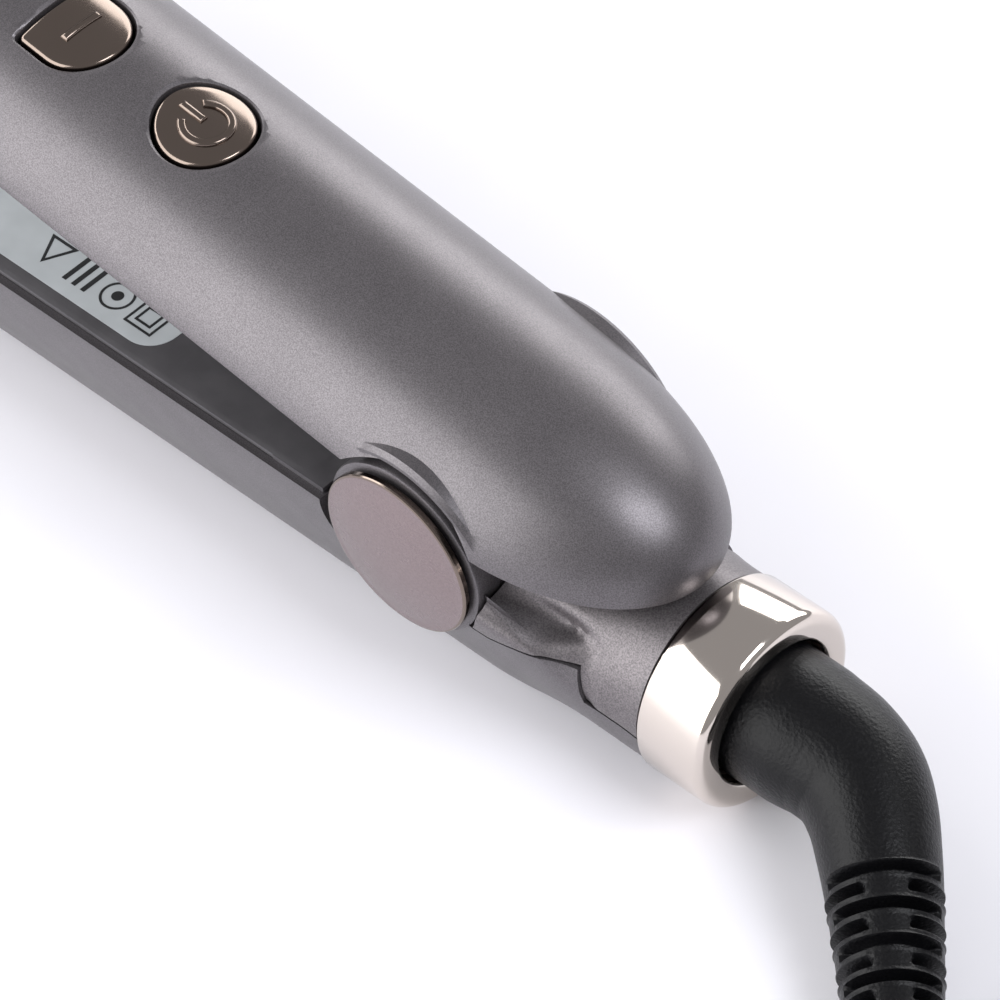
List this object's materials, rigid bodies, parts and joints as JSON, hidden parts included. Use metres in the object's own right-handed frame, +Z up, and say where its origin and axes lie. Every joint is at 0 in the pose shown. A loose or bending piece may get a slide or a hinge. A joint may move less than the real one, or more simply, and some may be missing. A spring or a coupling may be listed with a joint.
{
  "type": "hair iron",
  "caption": "Hinged two-arm hair iron with heated plates, a domed upper arm with buttons and a display, and a swivel mains cord.",
  "frame": {"origin": "middle of the iron's base on the surface it rests on, measured without its cord", "axes": "+X runs along the lower arm from the cord end to the tips, +Z is up, +Y is the iron's left side seen from the cord end"},
  "size_m": [0.47, 0.063, 0.079],
  "materials": {
    "body_paint": "satin",
    "neck_paint": "satin",
    "tray_plastic": "matte",
    "bronze_chrome": "dark bronze, polished",
    "satin_bronze": "satin",
    "collar_chrome": "warm nickel, polished",
    "label_film": "satin film",
    "cord_rubber": "matte",
    "heat_plastic": "matte",
    "plate_coat": "gloss",
    "ceramic": "ceramic",
    "aluminium": "satin",
    "steel": "satin",
    "brass": "satin",
    "board": "satin",
    "black_part": "matte",
    "window": "gloss",
    "nylon": "matte"
  },
  "bodies": {
    "lower_arm": {"lower_outer_shell": "body_paint", "neck_housing": "neck_paint", "lower_inner_tray": "tray_plastic", "rating_label": "label_film", "collar_ring": "collar_chrome", "swivel_socket": "nylon", "hinge_pin": "steel", "opening_spring": "steel", "hinge_cap_near": "satin_bronze", "hinge_cap_far": "satin_bronze", "power_board": "board", "filter_capacitor": "black_part", "relay": "black_part", "board_fuse": "ceramic", "lower_plate_frame": "heat_plastic", "lower_heating_plate": "plate_coat", "lower_heater": "ceramic", "lower_heater_clamp": "aluminium", "lower_tip_cap": "heat_plastic"},
    "upper_arm": {"upper_outer_shell": "body_paint", "upper_inner_tray": "tray_plastic", "hinge_bracket": "black_part", "hinge_bush_near": "brass", "hinge_bush_far": "brass", "control_board": "board", "switch_power": "black_part", "switch_minus": "black_part", "switch_plus": "black_part", "display_module": "black_part", "display_window": "window", "upper_plate_frame": "heat_plastic", "upper_tip_cap": "heat_plastic", "plate_spring_rear": "steel", "plate_spring_front": "steel", "upper_tray_screw_rear": "steel", "upper_tray_screw_front": "steel"},
    "upper_plate": {"upper_heating_plate": "plate_coat", "upper_heater": "ceramic", "upper_heater_clamp": "aluminium", "thermal_fuse": "steel", "temperature_sensor": "brass"},
    "power_key": {"button_power": "bronze_chrome"},
    "minus_key": {"button_minus": "bronze_chrome"},
    "plus_key": {"button_plus": "bronze_chrome"},
    "cord": {"swivel_stem": "nylon", "swivel_clip": "steel", "strain_relief": "cord_rubber", "cord_tube": "cord_rubber", "cord_hank": "cord_rubber", "cord_tie": "cord_rubber", "cord_tail": "cord_rubber", "plug_body": "cord_rubber", "plug_pin_near": "brass", "plug_pin_far": "brass"}
  },
  "joints": [
    {"name": "arm_hinge", "type": "hinge", "parent": "lower_arm", "child": "upper_arm", "pos_m": [-0.1027, 0, 0.0246], "axis": [0, 1, 0], "range_deg": [0, 8.6], "stiffness_Nm_per_rad": 1, "springref_deg": -17.19},
    {"name": "plate_float", "type": "slide", "parent": "upper_arm", "child": "upper_plate", "axis": [-0.1495, 0, 0.9888], "range_m": [0, 0.0006], "stiffness_N_per_m": 3000, "springref_m": -0.001, "deforming": ["plate_spring_rear", "plate_spring_front"]},
    {"name": "power_button", "type": "slide", "parent": "upper_arm", "child": "power_key", "axis": [0.1495, 0, -0.9888], "range_m": [0, 0.0005], "stiffness_N_per_m": 2000, "springref_m": -0.0005},
    {"name": "minus_button", "type": "slide", "parent": "upper_arm", "child": "minus_key", "axis": [0.1495, 0, -0.9888], "range_m": [0, 0.0005], "stiffness_N_per_m": 2000, "springref_m": -0.0005},
    {"name": "plus_button", "type": "slide", "parent": "upper_arm", "child": "plus_key", "axis": [0.1495, 0, -0.9888], "range_m": [0, 0.0005], "stiffness_N_per_m": 2000, "springref_m": -0.0005},
    {"name": "cord_swivel", "type": "hinge", "parent": "lower_arm", "child": "cord", "pos_m": [-0.142, 0, 0.01302], "axis": [1, 0, 0], "continuous": true}
  ]
}
